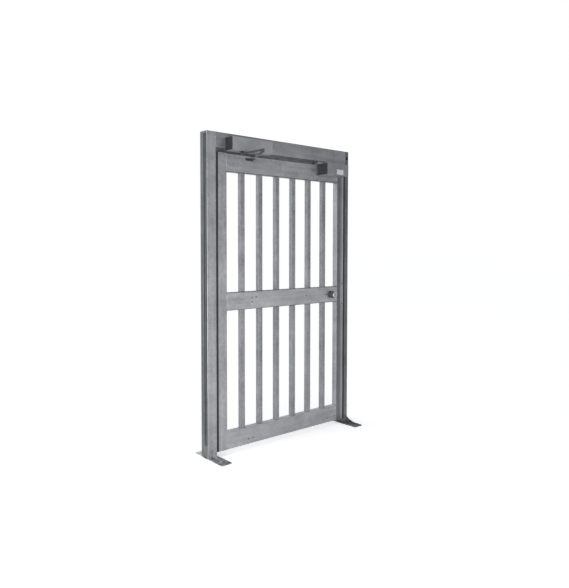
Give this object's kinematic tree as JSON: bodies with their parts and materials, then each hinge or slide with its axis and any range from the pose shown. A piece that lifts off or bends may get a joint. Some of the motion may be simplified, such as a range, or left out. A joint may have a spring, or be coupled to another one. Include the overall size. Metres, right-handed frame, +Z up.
{
  "type": "pedestrian security gate",
  "caption": "Galvanised pedestrian gate in a portal frame, with a barred leaf, overhead closer arm, magnetic lock and turn knob.",
  "frame": {"origin": "on the floor, on the underside of the hinge post's base plate, under the middle of the hinge post", "axes": "+X along the gate from the hinge post to the latch post, +Y through the gate away from the closer side, +Z up"},
  "size_m": [1.35, 0.458, 2.2],
  "materials": {
    "galvanised_steel": "hot-dip galvanised, dull with a mottled spangle",
    "black_rubber": "matte black rubber",
    "painted_cover": "satin silver-grey paint",
    "dark_cast_metal": "satin dark grey paint",
    "dark_plastic": "matte dark plastic",
    "bright_steel": "zinc-plated, satin",
    "spring_steel": "oiled spring wire",
    "lock_aluminium": "satin anodised",
    "copper_coil": "lacquered winding under potting resin",
    "label_white": "blank white printed film",
    "knob_metal": "satin chrome plate"
  },
  "bodies": {
    "frame": {"left_post": "galvanised_steel", "right_post": "galvanised_steel", "header": "galvanised_steel", "post_caps": "galvanised_steel", "left_base_plate": "galvanised_steel", "right_base_plate": "galvanised_steel", "left_gusset": "galvanised_steel", "right_gusset": "galvanised_steel", "header_lath": "galvanised_steel", "latch_seal": "black_rubber", "hinge_seal": "black_rubber", "strike_plate": "bright_steel", "hinge_1_post_half": "galvanised_steel", "hinge_2_post_half": "galvanised_steel", "hinge_3_post_half": "galvanised_steel", "hinge_4_post_half": "galvanised_steel", "hinge_pins": "bright_steel", "closer_back_plate": "dark_cast_metal", "closer_body": "dark_cast_metal", "closer_cover": "painted_cover", "closer_end_caps": "dark_plastic", "closer_spring": "spring_steel", "lock_bracket": "bright_steel", "lock_housing": "lock_aluminium", "magnet_core": "bright_steel", "magnet_coil": "copper_coil", "lock_label_plate": "label_white", "lock_end_plates": "dark_plastic"},
    "leaf": {"hinge_stile": "galvanised_steel", "latch_stile": "galvanised_steel", "top_rail": "galvanised_steel", "mid_rail": "galvanised_steel", "bottom_rail": "galvanised_steel", "bar_1": "galvanised_steel", "bar_2": "galvanised_steel", "bar_3": "galvanised_steel", "bar_4": "galvanised_steel", "bar_5": "galvanised_steel", "bar_6": "galvanised_steel", "hinge_1_leaf_half": "galvanised_steel", "hinge_2_leaf_half": "galvanised_steel", "hinge_3_leaf_half": "galvanised_steel", "hinge_4_leaf_half": "galvanised_steel", "armature_plate": "bright_steel", "armature_bolt": "bright_steel", "arm_shoe": "dark_cast_metal", "bolt_case": "bright_steel", "bolt_guard": "bright_steel", "knob_rosette": "knob_metal", "leaf_screws": "bright_steel"},
    "main_arm": {"main_arm": "dark_cast_metal", "closer_spindle": "bright_steel", "arm_screw": "bright_steel", "elbow_pin": "bright_steel"},
    "forearm": {"forearm_sleeve": "dark_cast_metal", "forearm_rod": "bright_steel"},
    "closer_piston": {"closer_piston": "bright_steel"},
    "knob": {"knob": "knob_metal", "knob_shaft": "bright_steel"},
    "dead_bolt": {"dead_bolt": "bright_steel"}
  },
  "joints": [
    {"name": "leaf_swing", "type": "hinge", "parent": "frame", "child": "leaf", "pos_m": [0.044, 0.017, 0], "axis": [0, 0, 1], "range_deg": [0, 100], "stiffness_Nm_per_rad": 12, "springref_deg": -20.05},
    {"name": "main_arm_turn", "type": "hinge", "parent": "frame", "child": "main_arm", "pos_m": [0.21, -0.096, 2.066], "axis": [0, 0, 1], "range_deg": [0, 165]},
    {"name": "forearm_turn", "type": "hinge", "parent": "main_arm", "child": "forearm", "pos_m": [0.212, -0.322, 2.055], "axis": [0, 0, 1], "range_deg": [-92, 0]},
    {"name": "piston_slide", "type": "slide", "parent": "frame", "child": "closer_piston", "axis": [1, 0, 0], "range_m": [0, 0.026]},
    {"name": "knob_turn", "type": "hinge", "parent": "leaf", "child": "knob", "pos_m": [1.1125, -0.07, 1.058], "axis": [0, 1, 0], "range_deg": [0, 90]},
    {"name": "bolt_throw", "type": "slide", "parent": "leaf", "child": "dead_bolt", "axis": [1, 0, 0], "range_m": [0, 0.025]}
  ],
  "couplings": [
    {"joint": "main_arm_turn", "follows": "leaf_swing", "ratio": 1.6166},
    {"joint": "forearm_turn", "follows": "leaf_swing", "ratio": -0.8989},
    {"joint": "piston_slide", "follows": "leaf_swing", "m_per_rad": 0.014549},
    {"joint": "bolt_throw", "follows": "knob_turn", "m_per_rad": 0.015915}
  ]
}
